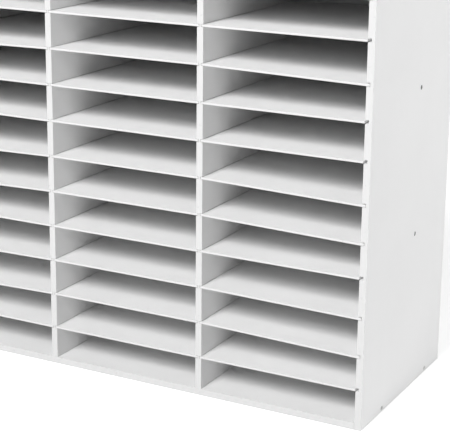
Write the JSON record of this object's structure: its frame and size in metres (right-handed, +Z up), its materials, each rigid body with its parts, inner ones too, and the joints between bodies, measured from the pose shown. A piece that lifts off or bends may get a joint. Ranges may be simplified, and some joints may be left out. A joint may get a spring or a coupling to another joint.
{
  "type": "pigeonhole mail sorter",
  "caption": "Free-standing white laminate cabinet, open at the front, with columns of low pigeonholes between thin shelves that slide in grooves, for sorting letters and papers.",
  "frame": {"origin": "on the surface it stands on, under the middle of the case", "axes": "+X to the viewer's right when facing the open front, +Y from the open front to the back panel, +Z up"},
  "size_m": [0.7238, 0.292, 0.6221],
  "materials": {
    "white_laminate": "white melamine on particle board, satin, faintly pebbled",
    "white_hardboard": "white painted hardboard, smooth and low in sheen",
    "plated_steel": "zinc plated, countersunk, cross recess",
    "white_plastic": "moulded, matte"
  },
  "bodies": {
    "case": {"side_panel_left": "white_laminate", "side_panel_right": "white_laminate", "divider_left_middle": "white_laminate", "divider_middle_right": "white_laminate", "bottom_panel": "white_laminate", "top_panel": "white_laminate", "back_panel": "white_hardboard", "side_screw_left_bottom_1": "plated_steel", "side_screw_left_bottom_2": "plated_steel", "side_screw_left_top_1": "plated_steel", "side_screw_left_top_2": "plated_steel", "side_screw_right_bottom_1": "plated_steel", "side_screw_right_bottom_2": "plated_steel", "side_screw_right_top_1": "plated_steel", "side_screw_right_top_2": "plated_steel", "divider_screw_left_middle_bottom_1": "plated_steel", "divider_screw_left_middle_bottom_2": "plated_steel", "divider_screw_left_middle_top_1": "plated_steel", "divider_screw_left_middle_top_2": "plated_steel", "divider_screw_middle_right_bottom_1": "plated_steel", "divider_screw_middle_right_bottom_2": "plated_steel", "divider_screw_middle_right_top_1": "plated_steel", "divider_screw_middle_right_top_2": "plated_steel", "hole_plug_left_1": "white_plastic", "hole_plug_left_2": "white_plastic", "hole_plug_right_1": "white_plastic", "hole_plug_right_2": "white_plastic"},
    "shelf_left_01": {"shelf_left_01": "white_hardboard"},
    "shelf_left_02": {"shelf_left_02": "white_hardboard"},
    "shelf_left_03": {"shelf_left_03": "white_hardboard"},
    "shelf_left_04": {"shelf_left_04": "white_hardboard"},
    "shelf_left_05": {"shelf_left_05": "white_hardboard"},
    "shelf_left_06": {"shelf_left_06": "white_hardboard"},
    "shelf_left_07": {"shelf_left_07": "white_hardboard"},
    "shelf_left_08": {"shelf_left_08": "white_hardboard"},
    "shelf_left_09": {"shelf_left_09": "white_hardboard"},
    "shelf_left_10": {"shelf_left_10": "white_hardboard"},
    "shelf_left_11": {"shelf_left_11": "white_hardboard"},
    "shelf_middle_01": {"shelf_middle_01": "white_hardboard"},
    "shelf_middle_02": {"shelf_middle_02": "white_hardboard"},
    "shelf_middle_03": {"shelf_middle_03": "white_hardboard"},
    "shelf_middle_04": {"shelf_middle_04": "white_hardboard"},
    "shelf_middle_05": {"shelf_middle_05": "white_hardboard"},
    "shelf_middle_06": {"shelf_middle_06": "white_hardboard"},
    "shelf_middle_07": {"shelf_middle_07": "white_hardboard"},
    "shelf_middle_08": {"shelf_middle_08": "white_hardboard"},
    "shelf_middle_09": {"shelf_middle_09": "white_hardboard"},
    "shelf_middle_10": {"shelf_middle_10": "white_hardboard"},
    "shelf_middle_11": {"shelf_middle_11": "white_hardboard"},
    "shelf_right_01": {"shelf_right_01": "white_hardboard"},
    "shelf_right_02": {"shelf_right_02": "white_hardboard"},
    "shelf_right_03": {"shelf_right_03": "white_hardboard"},
    "shelf_right_04": {"shelf_right_04": "white_hardboard"},
    "shelf_right_05": {"shelf_right_05": "white_hardboard"},
    "shelf_right_06": {"shelf_right_06": "white_hardboard"},
    "shelf_right_07": {"shelf_right_07": "white_hardboard"},
    "shelf_right_08": {"shelf_right_08": "white_hardboard"},
    "shelf_right_09": {"shelf_right_09": "white_hardboard"},
    "shelf_right_10": {"shelf_right_10": "white_hardboard"},
    "shelf_right_11": {"shelf_right_11": "white_hardboard"}
  },
  "joints": [
    {"name": "shelf_left_01_slide", "type": "slide", "parent": "case", "child": "shelf_left_01", "axis": [0, -1, 0], "range_m": [0, 0.25]},
    {"name": "shelf_left_02_slide", "type": "slide", "parent": "case", "child": "shelf_left_02", "axis": [0, -1, 0], "range_m": [0, 0.25]},
    {"name": "shelf_left_03_slide", "type": "slide", "parent": "case", "child": "shelf_left_03", "axis": [0, -1, 0], "range_m": [0, 0.25]},
    {"name": "shelf_left_04_slide", "type": "slide", "parent": "case", "child": "shelf_left_04", "axis": [0, -1, 0], "range_m": [0, 0.25]},
    {"name": "shelf_left_05_slide", "type": "slide", "parent": "case", "child": "shelf_left_05", "axis": [0, -1, 0], "range_m": [0, 0.25]},
    {"name": "shelf_left_06_slide", "type": "slide", "parent": "case", "child": "shelf_left_06", "axis": [0, -1, 0], "range_m": [0, 0.25]},
    {"name": "shelf_left_07_slide", "type": "slide", "parent": "case", "child": "shelf_left_07", "axis": [0, -1, 0], "range_m": [0, 0.25]},
    {"name": "shelf_left_08_slide", "type": "slide", "parent": "case", "child": "shelf_left_08", "axis": [0, -1, 0], "range_m": [0, 0.25]},
    {"name": "shelf_left_09_slide", "type": "slide", "parent": "case", "child": "shelf_left_09", "axis": [0, -1, 0], "range_m": [0, 0.25]},
    {"name": "shelf_left_10_slide", "type": "slide", "parent": "case", "child": "shelf_left_10", "axis": [0, -1, 0], "range_m": [0, 0.25]},
    {"name": "shelf_left_11_slide", "type": "slide", "parent": "case", "child": "shelf_left_11", "axis": [0, -1, 0], "range_m": [0, 0.25]},
    {"name": "shelf_middle_01_slide", "type": "slide", "parent": "case", "child": "shelf_middle_01", "axis": [0, -1, 0], "range_m": [0, 0.25]},
    {"name": "shelf_middle_02_slide", "type": "slide", "parent": "case", "child": "shelf_middle_02", "axis": [0, -1, 0], "range_m": [0, 0.25]},
    {"name": "shelf_middle_03_slide", "type": "slide", "parent": "case", "child": "shelf_middle_03", "axis": [0, -1, 0], "range_m": [0, 0.25]},
    {"name": "shelf_middle_04_slide", "type": "slide", "parent": "case", "child": "shelf_middle_04", "axis": [0, -1, 0], "range_m": [0, 0.25]},
    {"name": "shelf_middle_05_slide", "type": "slide", "parent": "case", "child": "shelf_middle_05", "axis": [0, -1, 0], "range_m": [0, 0.25]},
    {"name": "shelf_middle_06_slide", "type": "slide", "parent": "case", "child": "shelf_middle_06", "axis": [0, -1, 0], "range_m": [0, 0.25]},
    {"name": "shelf_middle_07_slide", "type": "slide", "parent": "case", "child": "shelf_middle_07", "axis": [0, -1, 0], "range_m": [0, 0.25]},
    {"name": "shelf_middle_08_slide", "type": "slide", "parent": "case", "child": "shelf_middle_08", "axis": [0, -1, 0], "range_m": [0, 0.25]},
    {"name": "shelf_middle_09_slide", "type": "slide", "parent": "case", "child": "shelf_middle_09", "axis": [0, -1, 0], "range_m": [0, 0.25]},
    {"name": "shelf_middle_10_slide", "type": "slide", "parent": "case", "child": "shelf_middle_10", "axis": [0, -1, 0], "range_m": [0, 0.25]},
    {"name": "shelf_middle_11_slide", "type": "slide", "parent": "case", "child": "shelf_middle_11", "axis": [0, -1, 0], "range_m": [0, 0.25]},
    {"name": "shelf_right_01_slide", "type": "slide", "parent": "case", "child": "shelf_right_01", "axis": [0, -1, 0], "range_m": [0, 0.25]},
    {"name": "shelf_right_02_slide", "type": "slide", "parent": "case", "child": "shelf_right_02", "axis": [0, -1, 0], "range_m": [0, 0.25]},
    {"name": "shelf_right_03_slide", "type": "slide", "parent": "case", "child": "shelf_right_03", "axis": [0, -1, 0], "range_m": [0, 0.25]},
    {"name": "shelf_right_04_slide", "type": "slide", "parent": "case", "child": "shelf_right_04", "axis": [0, -1, 0], "range_m": [0, 0.25]},
    {"name": "shelf_right_05_slide", "type": "slide", "parent": "case", "child": "shelf_right_05", "axis": [0, -1, 0], "range_m": [0, 0.25]},
    {"name": "shelf_right_06_slide", "type": "slide", "parent": "case", "child": "shelf_right_06", "axis": [0, -1, 0], "range_m": [0, 0.25]},
    {"name": "shelf_right_07_slide", "type": "slide", "parent": "case", "child": "shelf_right_07", "axis": [0, -1, 0], "range_m": [0, 0.25]},
    {"name": "shelf_right_08_slide", "type": "slide", "parent": "case", "child": "shelf_right_08", "axis": [0, -1, 0], "range_m": [0, 0.25]},
    {"name": "shelf_right_09_slide", "type": "slide", "parent": "case", "child": "shelf_right_09", "axis": [0, -1, 0], "range_m": [0, 0.25]},
    {"name": "shelf_right_10_slide", "type": "slide", "parent": "case", "child": "shelf_right_10", "axis": [0, -1, 0], "range_m": [0, 0.25]},
    {"name": "shelf_right_11_slide", "type": "slide", "parent": "case", "child": "shelf_right_11", "axis": [0, -1, 0], "range_m": [0, 0.25]}
  ]
}
